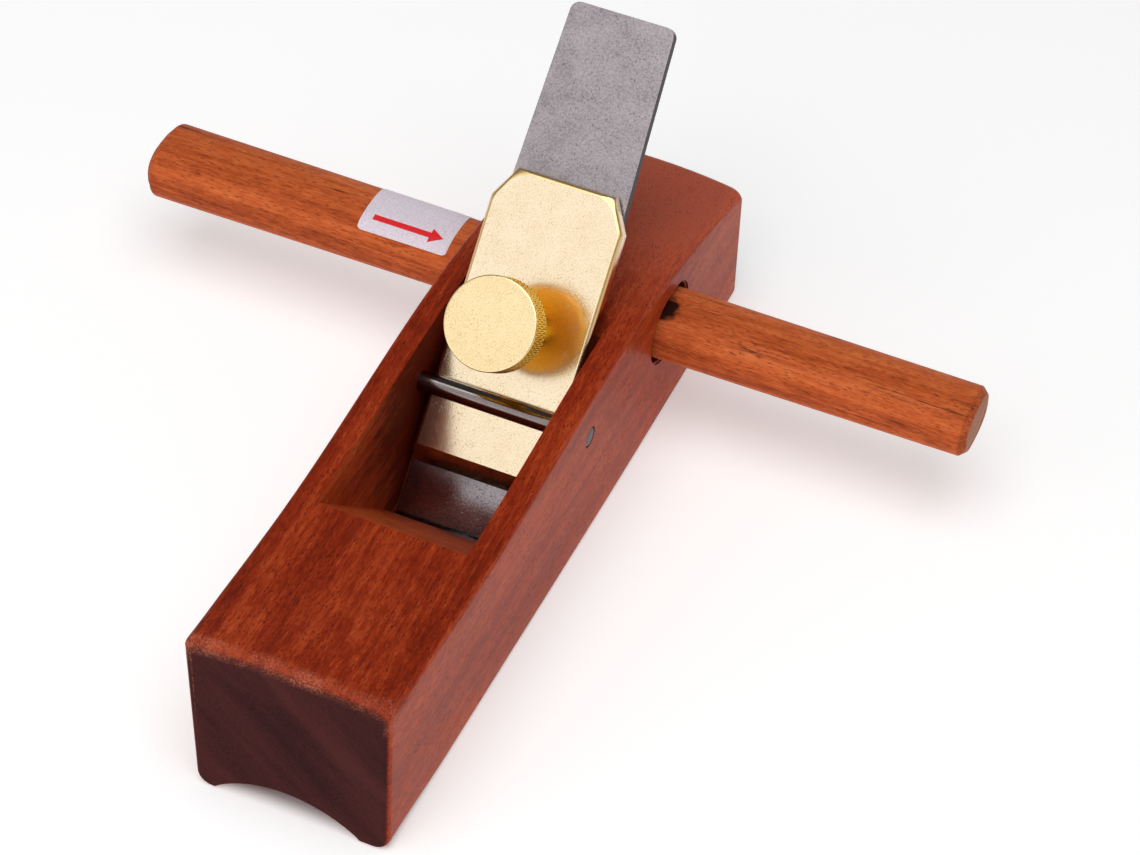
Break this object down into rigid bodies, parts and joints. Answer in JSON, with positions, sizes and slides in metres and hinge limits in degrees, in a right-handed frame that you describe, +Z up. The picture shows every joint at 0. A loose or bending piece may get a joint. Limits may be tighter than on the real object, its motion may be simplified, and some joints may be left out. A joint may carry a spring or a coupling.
{
  "type": "hand plane",
  "caption": "Wooden hand plane with a hollow sole, a plane iron held by a brass lever cap with a thumb screw under a cross pin, and a bar through the body as its handle.",
  "frame": {"origin": "centre of the plane that the two feet of the sole rest on, under the middle of the body", "axes": "+Y runs from the toe to the heel, +X is to the right seen from the toe and along the handle, +Z is up, away from the sole"},
  "size_m": [0.2685, 0.247, 0.1224],
  "materials": {
    "body_wood": "satin lacquer, red brown",
    "pin_steel": "dark bright drawn",
    "iron_steel": "ground, mottled",
    "cap_brass": "polished with fine pits",
    "stud_brass": "bright threaded",
    "knob_brass": "polished with a knurled rim",
    "handle_wood": "oiled, orange brown",
    "label_paper": "matt paper"
  },
  "bodies": {
    "body": {"plane_body": "body_wood", "cross_pin": "pin_steel"},
    "iron": {"plane_iron": "iron_steel"},
    "cap": {"lever_cap": "cap_brass"},
    "stud": {"thumb_screw_stud": "stud_brass"},
    "knob": {"thumb_screw_knob": "knob_brass"},
    "handle": {"cross_handle": "handle_wood", "direction_label": "label_paper"}
  },
  "joints": [
    {"name": "iron_slide", "type": "slide", "parent": "body", "child": "iron", "axis": [0, 0.682, 0.7314], "range_m": [-0.0003, 0.12]},
    {"name": "cap_rock", "type": "hinge", "parent": "body", "child": "cap", "pos_m": [0, 0.00577, 0.04231], "axis": [-1, 0, 0], "range_deg": [0, 0.8]},
    {"name": "screw_lift", "type": "slide", "parent": "cap", "child": "stud", "axis": [0, -0.7314, 0.682], "range_m": [0, 0.005]},
    {"name": "knob_turn", "type": "hinge", "parent": "stud", "child": "knob", "pos_m": [0, 0.0308, 0.05083], "axis": [0, -0.7314, 0.682], "range_deg": [0, 1440]},
    {"name": "handle_slide", "type": "slide", "parent": "body", "child": "handle", "axis": [1, 0, 0], "range_m": [-0.16, 0]}
  ],
  "couplings": [
    {"joint": "screw_lift", "follows": "knob_turn", "m_per_rad": 0.00019894},
    {"joint": "cap_rock", "follows": "knob_turn", "ratio": 0.00055556}
  ]
}
